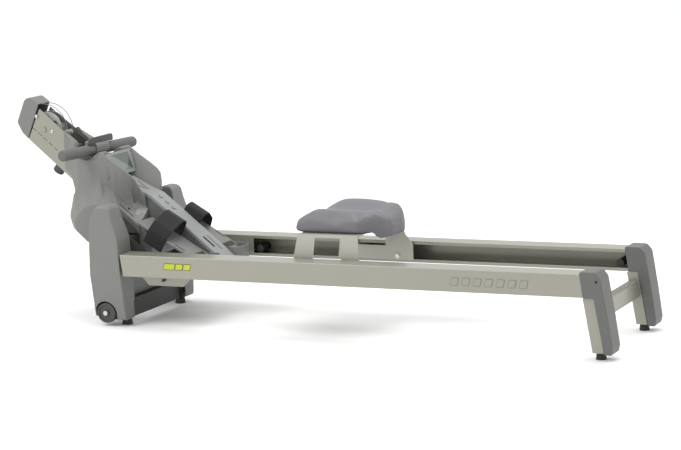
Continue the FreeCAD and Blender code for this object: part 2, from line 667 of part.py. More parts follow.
def spine_bar():
    """The steel box bar that carries the pedals, held between the boom's plates."""
    outer = side(BAR_SIDE, -34.5, 34.5)
    inner = side(BAR_INNER, -31.5, 31.5)
    bar = outer.cut(inner)
    return bar.cut(rod(PEDAL_AXLE_X, PEDAL_AXLE_Z, 6.2, -50, 50))


def console_outline(back, face, start=0.0, end=None):
    """A side-view strip along the console's slope, between two depths in front of it."""
    (tx, tz), (fx, fz) = CONSOLE_TOP, CONSOLE_FOOT
    length = math.hypot(tx - fx, tz - fz)
    end = length if end is None else end
    nx, nz = (tz - fz) / length, (fx - tx) / length
    ux, uz = (fx - tx) / length, (fz - tz) / length
    return [(tx + along * ux + depth * nx, tz + along * uz + depth * nz)
            for along, depth in ((start, back), (end, back), (end, face), (start, face))]


def console():
    """The console's housing behind the display, and the display window itself."""
    housing = side(console_outline(1, 9), -82, 82)
    housing = housing.cut(side(console_outline(6, 12, 10, 72), -62, 62))
    return housing, side(console_outline(6.2, 8.2, 10.3, 71.7), -61.7, 61.7)


def tower_parts():
    """The tower's covers, its inner bar, the console and its keys."""
    left = shell_solid()
    PARTS["shell_left"] = left
    PARTS["shell_right"] = mirrored(left)
    PARTS["spine_cover"] = spine_cover()
    PARTS["spine_bar"] = spine_bar()
    PARTS["console"], PARTS["display"] = console()
    for name, x in KEYS:
        PARTS["key_" + name] = key(x)


# ---- pull handle ---------------------------------------------------------------------------
def tilted(shape):
    """The handle's rest tilt: its far (+Y) end hangs a little lower."""
    shape = shape.copy()
    shape.rotate(V(HANDLE_X, 0, HANDLE_Z), V(1, 0, 0), -HANDLE_TILT_DEG)
    return shape


def handle_parts():
    """The bar with its strap block and tab, the two foam grips, and the stops behind them."""
    bar = rod(HANDLE_X, HANDLE_Z, BAR_R, -HANDLE_HALF + 3, HANDLE_HALF - 3)
    block = side([(-235.2, 607, 4), (-184, 600, 12), (-184, 557, 12), (-235.2, 575, 4)], -42, 42)
    block = block.cut(box(-240, -234.4, -14, 14, 590, 612))
    tab = front([(-80, 600, 4), (-74, 621, 5), (76, 621, 5), (80, 600, 4)], -199, -192)
    block = fused([block, tab, box(-199, -192, -20, 20, 592, 602)])
    PARTS["handle_bar"] = tilted(bar.fuse(block).removeSplitter())
    grips = []
    for sign in (-1, 1):
        grip = rod(HANDLE_X, HANDLE_Z, GRIP_R, sign * 42, sign * HANDLE_HALF)
        grip = grip.makeFillet(5, [e for e in grip.Edges if e.Length > 6 * GRIP_R])
        grips.append(grip.cut(rod(HANDLE_X, HANDLE_Z, BAR_R, sign * 41, sign * (HANDLE_HALF - 3))))
    PARTS["grips"] = group([tilted(grip) for grip in grips])
    stop = side([(-250, 586, 0), (-242, 572, 0), (-242, 598, 3), (-250, 604, 3)], 46, 60)
    PARTS["handle_rest"] = group([stop, mirrored(stop)])


# ---- pedals ----------------------------------------------------------------------------------
PLATE_TOP = [(30, 355), (262, 224)]


def pedal(sign):
    """A foot plate with its pivot lug and moulded heel cup."""
    (x0, z0), (x1, z1) = PLATE_TOP
    plate = side([(x0, z0, 3), (x1, z1, 0), (x1 - 4, z1 - 8, 0), (x0 - 2, z0 - 9, 3)],
                 PEDAL_IN, PEDAL_OUT)
    lug = ring(PEDAL_AXLE_X, PEDAL_AXLE_Z, 12, 6 + RUNNING_GAP, 62, 150)
    rib = box(PEDAL_AXLE_X - 6, PEDAL_AXLE_X + 6, 62, 150, PEDAL_AXLE_Z + 8, 301)
    cup_plan = [(232, PEDAL_IN + 2), (290, PEDAL_IN + 2, 30), (308, 84, 34), (308, 128, 34),
                (290, PEDAL_OUT - 2, 30), (232, PEDAL_OUT - 2)]
    cup_hollow = [(225, PEDAL_IN + 6), (288, PEDAL_IN + 6, 26), (304, 86, 30), (304, 126, 30),
                  (288, PEDAL_OUT - 6, 26), (225, PEDAL_OUT - 6)]
    cup = plan(cup_plan, 194, 240)
    cup = cup.cut(side([(200, 190), (228, 190), (262, 262), (200, 262)], 40, 170))
    hollow = plan(cup_hollow, 198, 260).common(
        side([(200, 246), (266, 215), (300, 198), (330, 198), (330, 260), (200, 260)], 40, 170))
    body = fused([plate, lug, rib, cup]).cut(hollow)
    body = body.cut(rod(PEDAL_AXLE_X, PEDAL_AXLE_Z, 6 + RUNNING_GAP, 40, 170))
    return on_side(max(body.Solids, key=lambda solid: solid.Volume), sign)


def pedal_strap(sign):
    """The wide strap arched over the foot, hanging past the foot plate's outer edge."""
    arch = [(56, 0.4, 0), (53, 34, 14), (64, 62, 18), (94, 68, 26), (150, 34, 26),
            (164.5, 4, 10), (164.5, -48, 0), (161, -48, 0), (161, 3, 8), (148, 30.5, 24),
            (93, 64, 23), (66.5, 58.5, 15), (56.5, 34, 12), (59.5, 0.4, 0)]
    band = front(arch, 0, STRAP_BAND_W)
    (x0, z0), (x1, z1) = PLATE_TOP
    band.rotate(V(0, 0, 0), V(0, 1, 0), math.degrees(math.atan2(z0 - z1, x1 - x0)))
    band.translate(V(x0 + STRAP_BAND_X, 0, z0 + STRAP_BAND_X * (z1 - z0) / (x1 - x0)))
    return on_side(band, sign)


def pedal_parts():
    """Both pedals with their straps, and the axle through the spine bar."""
    for name, sign in SIDES:
        PARTS["pedal_" + name] = pedal(sign)
        PARTS["pedal_strap_" + name] = pedal_strap(sign)
    axle = rod(PEDAL_AXLE_X, PEDAL_AXLE_Z, 6, -154, 154)
    for sign in (-1, 1):
        axle = axle.fuse(rod(PEDAL_AXLE_X, PEDAL_AXLE_Z, 9, sign * 151.5, sign * 157))
    PARTS["pedal_axle"] = axle


# ---- folding rails and rear legs ---------------------------------------------------------------
LEVEL_TOP = RAIL_TOP + PIVOT_X * math.tan(math.radians(RAIL_RISE_DEG))
LEVEL_BOTTOM = LEVEL_TOP - RAIL_H
RAIL_IN = RAIL_OUT - RAIL_W
LIP = 11.0                  # lips along the open side, which guide the rollers


def risen(shape):
    """A piece drawn level with the rails, tipped up to the rear by their small rise."""
    shape = shape.copy()
    shape.rotate(V(PIVOT_X, 0, PIVOT_Z), V(0, 1, 0), -RAIL_RISE_DEG)
    return shape


def rail(sign):
    """A folded sheet channel, open inward, with a lip on each flange."""
    t, top, low = RAIL_T, LEVEL_TOP, LEVEL_BOTTOM
    section = [(RAIL_OUT, top, 3), (RAIL_IN, top, 1.5), (RAIL_IN, top - LIP, 0),
               (RAIL_IN + t, top - LIP, 0), (RAIL_IN + t, top - t, 0),
               (RAIL_OUT - t, top - t, 0), (RAIL_OUT - t, low + t, 0), (RAIL_IN + t, low + t, 0),
               (RAIL_IN + t, low + LIP, 0), (RAIL_IN, low + LIP, 0), (RAIL_IN, low, 1.5),
               (RAIL_OUT, low, 3)]
    channel = front(section, 10, 1690)
    ends = [(RAIL_FRONT - 5, top + 1), (RAIL_REAR - 5, top + 1), (RAIL_REAR + 6, low - 1),
            (RAIL_FRONT + 5, low - 1)]
    channel = channel.common(side(ends, 150, 300))
    channel = channel.cut(rod(PIVOT_X, PIVOT_Z, 15.1, RAIL_IN - 1, RAIL_IN + RAIL_T + 1))
    return on_side(channel, sign)


def fold_plates(sign):
    """The channel's closing plate at the pivot and the trapezoid fold plate below."""
    top, low = LEVEL_TOP, LEVEL_BOTTOM
    closing = side([(RAIL_FRONT + 2, top - 1), (296, top - 1), (296, low + 1),
                    (RAIL_FRONT + 8, low + 1)], RAIL_IN - 3, RAIL_IN, 1)
    closing = closing.cut(rod(PIVOT_X, PIVOT_Z, 15.1, 180, 200))
    web = side([(56, low - 0.2, 0), (90, 143, 4), (224, 143, 4), (262, low - 0.2, 0)], 200, 204)
    flange = box(56, 262, 200, 232, low - 3.2, low - 0.2)
    plate = web.fuse(flange).removeSplitter()
    plate = plate.cut(rod(150, 163, 5.1, 190, 210))
    return [on_side(closing, sign), on_side(plate, sign)]


def rear_frame():
    """The two rear leg tubes welded to the crossbar."""
    leg = [(1693, 25), (1662, 196.5), (1669.5, 199), (1670, 262), (1692, 262), (1698, 206),
           (1729, 25)]
    hole = [(1695.5, 20), (1665, 195.5), (1672, 197.5), (1672.5, 259.5), (1689.8, 259.5),
            (1695.6, 205), (1727, 20)]
    low, high = REAR_LEG_Y - REAR_LEG_W / 2, REAR_LEG_Y + REAR_LEG_W / 2
    tubes = []
    for _, sign in SIDES:
        tube = side(leg, low, high).cut(side(hole, low + 2.5, high - 2.5))
        tube = tube.fuse(side([(1693, 25), (1692.3, 29), (1728.3, 29), (1729, 25)], low, high))
        tube = tube.cut(pin(V(REAR_FOOT_X - 6, REAR_LEG_Y, 15), 5.2, 30, V(0, 0, 1)))
        tubes.append(on_side(tube, sign))
    cross = side([(1666, 172, 7), (1700, 172, 7), (1706, 115, 7), (1674, 115, 7)], -low, low)
    cross = cross.cut(side([(1669, 169, 4), (1697.5, 169, 4), (1703, 118, 4), (1677, 118, 4)],
                           -low - 1, low + 1))
    return fused([tubes[0], cross, tubes[1]])


COVER_SIDE = [(1655, 282, 5), (1708, 282, 12), (1725, 262, 16), (1745, 150, 60),
              (1761, 44, 8), (1756, 21, 5), (1731.5, 21, 1), (1700.5, 199, 1), (1668, 198, 1)]
COVER_INNER = [(1659, 278.5, 3), (1707, 278.5, 9), (1721.5, 261, 13), (1741.5, 150, 57),
               (1757.5, 44, 5), (1753, 24.5, 3), (1734.5, 24.5, 0), (1703, 202.5, 0),
               (1671, 201.5, 0)]


def rear_cover(sign):
    """The moulded cap over a rail's end that runs down behind the rear leg."""
    low, high = RAIL_IN - 1.5, RAIL_OUT + 1.5
    outer = side(COVER_SIDE, low, high)
    slim = front([(low + 1, 10, 2), (high - 8, 10, 2), (high - 3, 180, 40), (high, 220, 20),
                  (high, 290, 6), (low, 290, 6), (low, 200, 30)], 1640, 1780)
    inner = side(COVER_INNER, low + 3.5, high - 12)
    cover = outer.common(slim).cut(inner)
    cover = cover.cut(box(1660, 1702, REAR_LEG_Y - REAR_LEG_W / 2 - 0.5,
                          REAR_LEG_Y + REAR_LEG_W / 2 + 0.5, 190, 262.5))
    return on_side(max(cover.Solids, key=lambda solid: solid.Volume), sign)


def rear_feet():
    """Rubber feet under the rear legs, each on a stud."""
    feet = []
    for _, sign in SIDES:
        base = V(REAR_FOOT_X - 6, sign * REAR_LEG_Y, 0)
        feet.append(Part.makeCone(17, 15, 20, base).fuse(pin(base, 9, 25, V(0, 0, 1)))
                    .fuse(pin(base, 5, 36, V(0, 0, 1))))
    return group(feet)


def cover_screws():
    """Recessed screws in the rear covers and in the sides of the rail ends."""
    screws = []
    for _, sign in SIDES:
        for x, z, lean in ((1722.5, 252, 12), (1753, 64, 10)):
            way = V(math.cos(math.radians(lean)), 0, math.sin(math.radians(lean)))
            screws.append(pin(V(x, sign * (REAR_LEG_Y + 6), z) - way * 9, 3, 12, way))
    return group(screws)


def bumpers():
    """Rubber stops in the channels for the seat's rollers."""
    stops = []
    for _, sign in SIDES:
        for x in (312, 1634):
            stop = rod(x, LEVEL_BOTTOM + 24, 13, 206, RAIL_OUT - RAIL_T)
            stops.append(on_side(stop, sign))
    return group(stops)


def pivot_bushes():
    """Bushes fixed in the closing plates that turn on the pivot bolts."""
    return group([on_side(ring(PIVOT_X, PIVOT_Z, 15, PIVOT_R + RUNNING_GAP, 175.5, 205), sign)
                  for _, sign in SIDES])


def lock_knob():
    """The clamp knob that locks the rails down, on the right-hand fold plate."""
    stud = rod(150, 163, 5, -214, -170)
    knob = rod(150, 163, 17, -196, -172)
    return knob.makeFillet(3, [e for e in knob.Edges if e.Length > 100]).fuse(stud)


def rail_parts():
    """The folding half: rails, plates, rear legs, covers and feet."""
    plates, covers = [], []
    screws = cover_screws()
    for name, sign in SIDES:
        PARTS["rail_" + name] = risen(rail(sign))
        covers.append(rear_cover(sign).cut(screws))
        plates += [risen(plate) for plate in fold_plates(sign)]
    PARTS["rear_covers"] = group(covers)
    PARTS["fold_plates"] = group(plates)
    PARTS["rear_frame"] = rear_frame()
    PARTS["rear_feet"] = rear_feet()
    PARTS["cover_screws"] = screws
    PARTS["bumpers"] = risen(bumpers())
    PARTS["pivot_bushes"] = pivot_bushes()
    PARTS["lock_knob"] = risen(lock_knob())


# ---- sliding seat ------------------------------------------------------------------------------
ROLLER_SEAT_Z = LEVEL_BOTTOM + RAIL_T + ROLLER_SEAT_R + 0.3


def seat_carriage():
    """A bent sheet carriage: a top plate and two side plates with windows, one flared behind."""
    plain = [(652, 337, 4), (868, 337, 4), (872, 192, 4), (626, 192, 4), (634, 262, 20)]
    flared = [(652, 337, 4), (874, 337, 4), (877, 285, 30), (907, 248, 8), (907, 192, 4),
              (626, 192, 4), (634, 262, 20)]
    window = [(714, 326, 4), (806, 326, 4), (806, 240, 4), (700, 240, 4)]
    plates = []
    for (_, sign), outline in zip(SIDES, (plain, flared)):
        plate = side(outline, TROLLEY_HALF - 3, TROLLEY_HALF).cut(side(window, 170, 190))
        for x in (ROLLER_FRONT_X, ROLLER_REAR_X):
            plate = plate.cut(rod(x, ROLLER_SEAT_Z, 5.1, 170, 190))
        plates.append(on_side(plate, sign))
    top = box(656, 870, -TROLLEY_HALF + 2, TROLLEY_HALF - 2, 333, 337)
    return fused([plates[0], top, plates[1]])


def seat_pad():
    """The cushion's plain closed form, for its size and place."""
    outline = [(590, 345, 4), (602, 372, 30), (650, 404, 40), (760, 410, 90), (890, 398, 30),
               (938, 362, 14), (925, 343.5, 4), (612, 343.5, 4)]
    body = side(outline, -166, 166)
    return body.common(plan([(586, -130, 40), (640, -166, 50), (880, -166, 50), (944, -110, 50),
                             (944, 110, 50), (880, 166, 50), (640, 166, 50), (586, 130, 40)],
                            330, 420))


def seat_rollers(x):
    """The left and right roller on one axle."""
    near, far = ROLLER_SEAT_Y - ROLLER_SEAT_W / 2, ROLLER_SEAT_Y + ROLLER_SEAT_W / 2
    rollers = []
    for _, sign in SIDES:
        tyre = ring(x, ROLLER_SEAT_Z, ROLLER_SEAT_R, 5 + RUNNING_GAP, near, far)
        rollers.append(on_side(tyre, sign))
    return group(rollers)


def seat_axles():
    """Stub axles riveted through the carriage's side plates."""
    axles = []
    for _, sign in SIDES:
        for x in (ROLLER_FRONT_X, ROLLER_REAR_X):
            axle = rod(x, ROLLER_SEAT_Z, 5, 178, 226)
            axle = axle.fuse(rod(x, ROLLER_SEAT_Z, 8, TROLLEY_HALF, 200))
            axle = axle.fuse(rod(x, ROLLER_SEAT_Z, 7, 225.6, 229))
            axle = axle.fuse(rod(x, ROLLER_SEAT_Z, 8, 176, 181))
            axles.append(on_side(axle, sign))
    return group(axles)


def seat_parts():
    """The seat's cushion, board, carriage, axles and rollers."""
    PARTS["seat_carriage"] = risen(seat_carriage())
    board = plan([(630, -152, 40), (890, -152, 40), (890, 152, 40), (630, 152, 40)], 337.2, 343.2)
    PARTS["pad_board"] = risen(board)
    PARTS["seat_pad"] = risen(seat_pad())
    PARTS["seat_rollers_front"] = risen(seat_rollers(ROLLER_FRONT_X))
    PARTS["seat_rollers_rear"] = risen(seat_rollers(ROLLER_REAR_X))
    PARTS["seat_axles"] = risen(seat_axles())


# ---- write every piece ---------------------------------------------------------------------------
lower_parts()
boom_parts()
drive_parts()
tower_parts()
handle_parts()
pedal_parts()
rail_parts()
seat_parts()

os.makedirs("parts", exist_ok=True)
lowest, highest = 1e9, -1e9
for node, shape in PARTS.items():
    placed = shape.copy()
    placed.translate(V(-MIDDLE_X, 0, 0))
    lowest, highest = min(lowest, placed.BoundBox.XMin), max(highest, placed.BoundBox.XMax)
    placed.exportStep(f"parts/{node}.step")
    print(node, len(placed.Solids), placed.isValid(), round(placed.Volume / 1000, 1))
print(len(PARTS), "nodes, X", round(lowest, 2), round(highest, 2))
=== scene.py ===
"""The looks of a folding rowing machine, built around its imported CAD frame.

Outlines are stations in millimetres, as on the machine: x from the line of the front feet
towards the rear legs, y to the side away from the lock knob, z up from the floor.
"""
import json
import math

import bmesh
import bpy
from mathutils import Matrix, Vector

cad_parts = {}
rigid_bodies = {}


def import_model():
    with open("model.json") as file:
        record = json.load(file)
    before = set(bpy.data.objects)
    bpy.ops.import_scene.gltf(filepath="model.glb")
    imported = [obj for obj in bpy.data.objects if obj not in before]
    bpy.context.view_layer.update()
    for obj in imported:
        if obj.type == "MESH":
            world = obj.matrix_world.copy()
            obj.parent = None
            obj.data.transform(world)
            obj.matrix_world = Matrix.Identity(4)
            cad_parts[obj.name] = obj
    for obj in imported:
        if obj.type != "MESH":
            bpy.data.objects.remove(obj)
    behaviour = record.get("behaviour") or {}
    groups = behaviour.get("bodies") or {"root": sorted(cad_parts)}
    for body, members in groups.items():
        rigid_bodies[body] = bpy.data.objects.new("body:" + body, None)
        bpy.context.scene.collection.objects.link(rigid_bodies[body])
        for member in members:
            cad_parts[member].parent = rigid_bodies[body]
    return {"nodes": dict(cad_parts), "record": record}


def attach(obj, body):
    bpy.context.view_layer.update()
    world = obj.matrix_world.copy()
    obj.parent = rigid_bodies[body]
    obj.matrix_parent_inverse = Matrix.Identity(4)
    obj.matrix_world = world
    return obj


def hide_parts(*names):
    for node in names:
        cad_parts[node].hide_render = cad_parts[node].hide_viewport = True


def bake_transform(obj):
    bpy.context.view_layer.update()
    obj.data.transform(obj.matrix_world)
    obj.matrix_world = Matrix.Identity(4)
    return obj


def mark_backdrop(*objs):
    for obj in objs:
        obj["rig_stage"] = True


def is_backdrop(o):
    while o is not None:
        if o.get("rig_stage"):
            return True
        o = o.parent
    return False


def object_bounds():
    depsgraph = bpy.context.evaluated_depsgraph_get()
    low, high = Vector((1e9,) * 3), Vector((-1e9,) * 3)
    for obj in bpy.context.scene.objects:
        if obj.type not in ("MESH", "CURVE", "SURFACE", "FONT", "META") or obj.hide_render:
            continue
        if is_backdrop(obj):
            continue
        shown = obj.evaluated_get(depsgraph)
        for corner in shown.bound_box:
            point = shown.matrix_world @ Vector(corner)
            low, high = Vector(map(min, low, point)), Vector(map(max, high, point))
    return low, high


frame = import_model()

CAD_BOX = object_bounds()

# ---- driving dimensions ------------------------------------------------------------------
MIDDLE = 626.7              # station of the middle of the row frame, mm
BOOM_HALF = 38.0            # half width over the boom's side plates
SPINE_HALF = 46.0           # half width over the spine cover
DECK_IN, DECK_OUT = 48.0, 121.0
RAIL_FACE = 270.0           # outer face of a rail
RAIL_RISE = 0.62            # degrees
PIVOT = (62.0, 236.0)
HANDLE = (-205.5, 577.0)
HANDLE_HALF = 245.0
HANDLE_TILT = 1.5           # degrees
GRIP_R = 19.5
SEAT_BASE = 338.5           # underside of the cushion
SEAT_FRONT, SEAT_BACK = 600.0, 936.0
FOOT_TOP = (30.0, 355.3)    # a foot plate's upper edge, from its toe to its heel
FOOT_FALL = (355 - 224) / 232
STRAP_NEAR = (-366.2, 691.9)    # where the free strap leaves the pulley
STRAP_FAR = (-236.0, 600.0)     # and where it enters the handle's block
KNOB_FOOT = (-352.0, 518.0)
KNOB_R = 20.0
PULLEY = (-400.0, 668.0)
SPINE_FALL = 0.788          # slope of the spine's long straight top

CAMERA_AT = (3.3505, -6.9997, 1.6423)
CAMERA_YAW, CAMERA_PITCH, CAMERA_ROLL = 24.94, 9.54, -1.74
LENS = 123.2

SIDES = (("right", -1.0), ("left", 1.0))


# ---- geometry helpers --------------------------------------------------------------------
def at(x, y, z):
    """A station in millimetres as a point of the row frame in metres."""
    return Vector(((x - MIDDLE) / 1000, y / 1000, z / 1000))


def risen(x, z):
    """A station drawn level with the rails, tipped up to the rear by their rise."""
    angle = math.radians(RAIL_RISE)
    dx, dz = x - PIVOT[0], z - PIVOT[1]
    return (PIVOT[0] + dx * math.cos(angle) - dz * math.sin(angle),
            PIVOT[1] + dx * math.sin(angle) + dz * math.cos(angle))


def make(name, points, faces):
    """A mesh object from row-frame points and faces, with its normals outward."""
    data = bpy.data.meshes.new(name)
    data.from_pydata([tuple(p) for p in points], [], faces)
    data.validate()
    shape = bmesh.new()
    shape.from_mesh(data)
    bmesh.ops.recalc_face_normals(shape, faces=shape.faces)
    shape.to_mesh(data)
    shape.free()
    piece = bpy.data.objects.new(name, data)
    bpy.context.collection.objects.link(piece)
    return piece


def rounded(outline, steps=6):
    """The points of a closed outline whose (a, b, radius) corners are rounded."""
    points = []
    count = len(outline)
    for i, corner in enumerate(outline):
        here = Vector(corner[:2])
        radius = corner[2] if len(corner) > 2 else 0
        before = (Vector(outline[i - 1][:2]) - here)
        after = (Vector(outline[(i + 1) % count][:2]) - here)
        if radius <= 0:
            points.append(tuple(here))
            continue
        half = before.angle(after) / 2
        reach = min(radius / math.tan(half), before.length * 0.49, after.length * 0.49)
        first, last = here + before.normalized() * reach, here + after.normalized() * reach
        for step in range(steps + 1):
            t = step / steps
            curve = first.lerp(here, t).lerp(here.lerp(last, t), t)
            points.append(tuple(curve))
    return points


def loft(name, rings):
    """A skin over rings of row-frame points, capped at both ends."""
    count = len(rings[0])
    points = [p for ring in rings for p in ring]
    faces = []
    for i in range(len(rings) - 1):
        for j in range(count):
            k = (j + 1) % count
            faces.append([i * count + j, i * count + k, (i + 1) * count + k,
                          (i + 1) * count + j])
    faces.append(list(range(count)))
    faces.append([(len(rings) - 1) * count + j for j in range(count)])
    return make(name, points, faces)


def slab(name, outline, y0, y1, steps=6):
    """A side-view outline drawn out along Y."""
    flat = rounded(outline, steps)
    return loft(name, [[at(x, y, z) for x, z in flat] for y in (y0, y1)])


def side_loft(name, sections, steps=6):
    """A skin over side-view outlines with the same corners, each at its own y."""
    rings = [[at(x, y, z) for x, z in rounded(outline, steps)] for y, outline in sections]
    return loft(name, rings)


def tube(name, path, radius, sides=20):
    """A round bar through row-frame points."""
    rings = []
    for i, point in enumerate(path):
        ahead = (path[min(i + 1, len(path) - 1)] - path[max(i - 1, 0)]).normalized()
        across = ahead.cross(Vector((0.1, 0.2, 1))).normalized()
        up = across.cross(ahead)
        size = radius[i] if isinstance(radius, (list, tuple)) else radius
        rings.append([point + (across * math.cos(a) + up * math.sin(a)) * size
                      for a in (2 * math.pi * s / sides for s in range(sides))])
    return loft(name, rings)


def modified(piece, kind, **settings):
    """The piece with one modifier applied."""
    modifier = piece.modifiers.new(kind, kind)
    for key, value in settings.items():
        setattr(modifier, key, value)
    with bpy.context.temp_override(object=piece, active_object=piece,
                                   selected_objects=[piece]):
        bpy.ops.object.modifier_apply(modifier=modifier.name)
    return piece


def eased(piece, width, segments=3, angle=30):
    """Sharp edges rounded by a bevel."""
    return modified(piece, "BEVEL", width=width / 1000, segments=segments,
                    limit_method="ANGLE", angle_limit=math.radians(angle))


def joined(name, pieces):
    """Several meshes as one."""
    with bpy.context.temp_override(active_object=pieces[0], selected_objects=pieces,
                                   selected_editable_objects=pieces):
        bpy.ops.object.join()
    pieces[0].name = name
    return pieces[0]


def moulded(piece, voxel, passes):
    """Edges melted together the way a moulding's are: remeshed and smoothed."""
    modified(piece, "REMESH", mode="VOXEL", voxel_size=voxel / 1000)
    return modified(piece, "SMOOTH", factor=0.5, iterations=passes)


def copy_of(*nodes):
    """A free mesh copy of CAD nodes."""
    pieces = []
    for node in nodes:
        source = frame["nodes"][node]
        piece = bpy.data.objects.new("copy_" + node, source.data.copy())
        piece.matrix_world = source.matrix_world
        bpy.context.collection.objects.link(piece)
        pieces.append(piece)
    return joined("copy", pieces) if len(pieces) > 1 else pieces[0]


def smooth(piece, angle=35):
    """Smooth shading with creases kept at sharp edges."""
    piece.data.shade_smooth()
    piece.data.set_sharp_from_angle(angle=math.radians(angle))
    return piece


def dress(piece, name, material, body, replaced=(), angle=35):
    """Name a finished piece, paint it, and fix it to its CAD body."""
    piece.name = name
    piece.data.name = name
    piece.data.materials.clear()
    piece.data.materials.append(material)
    smooth(piece, angle)
    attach(piece, body)
    if replaced:
        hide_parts(*replaced)
    return piece


def flipped(points, sign):
    """Side-loft sections for either side of the middle plane."""
    return [(sign * y, outline) for y, outline in points]


# ---- materials ---------------------------------------------------------------------------
def plain(name, color, roughness, metallic=0.0, coat=0.0):
    """A new Principled material and its nodes."""
    material = bpy.data.materials.new(name)
    material.use_nodes = True
    shader = material.node_tree.nodes["Principled BSDF"]
    shader.inputs["Base Color"].default_value = (*color, 1)
    shader.inputs["Roughness"].default_value = roughness
    shader.inputs["Metallic"].default_value = metallic
    shader.inputs["Coat Weight"].default_value = coat
    return material, material.node_tree.nodes, material.node_tree.links, shader


def grained(name, color, roughness, grain, depth, metallic=0.0, coat=0.0, mottle=0.04):
    """A material with fine surface grain of a size in mm, and slightly uneven colour."""
    material, nodes, links, shader = plain(name, color, roughness, metallic, coat)
    place = nodes.new("ShaderNodeTexCoord")
    fine = nodes.new("ShaderNodeTexNoise")
    fine.inputs["Scale"].default_value = 1000 / grain
    fine.inputs["Detail"].default_value = 2
    links.new(place.outputs["Object"], fine.inputs["Vector"])
    bump = nodes.new("ShaderNodeBump")
    bump.inputs["Strength"].default_value = 0.35
    bump.inputs["Distance"].default_value = depth / 1000
    links.new(fine.outputs["Fac"], bump.inputs["Height"])
    links.new(bump.outputs["Normal"], shader.inputs["Normal"])
    broad = nodes.new("ShaderNodeTexNoise")
    broad.inputs["Scale"].default_value = 9
    links.new(place.outputs["Object"], broad.inputs["Vector"])
    ramp = nodes.new("ShaderNodeMix")
    ramp.data_type = "RGBA"
    ramp.inputs[6].default_value = (*[c * (1 - mottle) for c in color], 1)
    ramp.inputs[7].default_value = (*[min(1, c * (1 + mottle)) for c in color], 1)
    links.new(broad.outputs["Fac"], ramp.inputs[0])
    links.new(ramp.outputs[2], shader.inputs["Base Color"])
    return material


def woven(name, color, pitch):
    """Webbing: two crossed sets of threads a pitch apart in mm."""
    material, nodes, links, shader = plain(name, color, 0.85)
    shader.inputs["Sheen Weight"].default_value = 0.04
    place = nodes.new("ShaderNodeTexCoord")
    total = nodes.new("ShaderNodeMath")
    for i, direction in enumerate(("Y", "Z")):
        wave = nodes.new("ShaderNodeTexWave")
        wave.bands_direction = direction
        wave.inputs["Scale"].default_value = 1000 / pitch / 3
        links.new(place.outputs["Object"], wave.inputs["Vector"])
        links.new(wave.outputs["Fac"], total.inputs[i])
    bump = nodes.new("ShaderNodeBump")
    bump.inputs["Strength"].default_value = 0.6
    bump.inputs["Distance"].default_value = 0.0004
    links.new(total.outputs[0], bump.inputs["Height"])
    links.new(bump.outputs["Normal"], shader.inputs["Normal"])
    return material


CHAMPAGNE = grained("champagne_paint", (0.27, 0.264, 0.221), 0.38, 0.5, 0.01, 0.45, 0.15, 0.02)
# the carriage has the rails' champagne paint; this copy is lightened as painted light for its
# brightly lit side plates
CARRIAGE_PAINT_LIT = grained("carriage_paint_lit", (0.37, 0.36, 0.315), 0.4, 0.5, 0.01, 0.3, 0.15, 0.02)
DARK_STEEL = grained("dark_powder_coat", (0.035, 0.035, 0.033), 0.6, 0.6, 0.03)
GREY = grained("grey_moulding", (0.152, 0.155, 0.145), 0.5, 0.7, 0.03)
LIGHT = grained("light_moulding", (0.215, 0.226, 0.222), 0.45, 0.7, 0.02)
# the rear covers' own grey, also used as painted shade on the spine's flanks and in its pressed
# arrow
COVER_GREY_AND_SHADE = grained("rear_cover_grey_and_painted_shade", (0.1, 0.103, 0.096), 0.5, 0.7, 0.03)
DARK_PLASTIC = grained("dark_moulding", (0.042, 0.042, 0.041), 0.55, 0.6, 0.03)
RUBBER = grained("black_rubber", (0.024, 0.024, 0.024), 0.75, 0.8, 0.04)
TYRE_GREY = grained("wheel_rubber", (0.052, 0.052, 0.05), 0.65, 0.8, 0.04)
FOAM = grained("grip_foam", (0.105, 0.105, 0.1), 0.8, 1.2, 0.08)
WEBBING = woven("black_webbing", (0.008, 0.008, 0.008), 1.6)
BELT = grained("belt_rubber", (0.02, 0.02, 0.02), 0.7, 0.8, 0.04)
VINYL = grained("seat_skin", (0.125, 0.121, 0.131), 0.5, 1.0, 0.05, 0.0, 0.0, 0.03)
STEEL = grained("zinc_steel", (0.5, 0.5, 0.48), 0.28, 0.5, 0.01, 1.0, 0.0, 0.03)
PALE = grained("pale_acetal", (0.36, 0.36, 0.34), 0.4, 0.7, 0.02)
IRON = grained("cast_iron", (0.06, 0.06, 0.06), 0.6, 1.5, 0.1)
BADGE = plain("badge_yellow", (0.38, 0.43, 0.02), 0.4)[0]
EMBOSS = plain("embossed_shade", (0.17, 0.165, 0.14), 0.5, 0.3)[0]
SEAM = plain("dark_seam", (0.012, 0.012, 0.012), 0.8)[0]
WIRE = plain("wire_steel", (0.2, 0.2, 0.19), 0.35, 1.0)[0]


def display_material():
    """Grey-green display glass with a darker reflection across one corner."""
    material, nodes, links, shader = plain("display_green", (0.12, 0.16, 0.13), 0.12, 0, 0.6)
    place = nodes.new("ShaderNodeTexCoord")
    slope = nodes.new("ShaderNodeVectorMath")
    slope.operation = "DOT_PRODUCT"
    slope.inputs[1].default_value = (0, 0.8, 0.7)
    links.new(place.outputs["Generated"], slope.inputs[0])
    step = nodes.new("ShaderNodeMapRange")
    step.inputs["From Min"].default_value = 0.78
    step.inputs["From Max"].default_value = 0.82
    links.new(slope.outputs["Value"], step.inputs["Value"])
    mix = nodes.new("ShaderNodeMix")
    mix.data_type = "RGBA"
    mix.inputs[6].default_value = (0.14, 0.18, 0.15, 1)
    mix.inputs[7].default_value = (0.055, 0.075, 0.065, 1)
    links.new(step.outputs["Result"], mix.inputs[0])
    links.new(mix.outputs[2], shader.inputs["Base Color"])
    return material


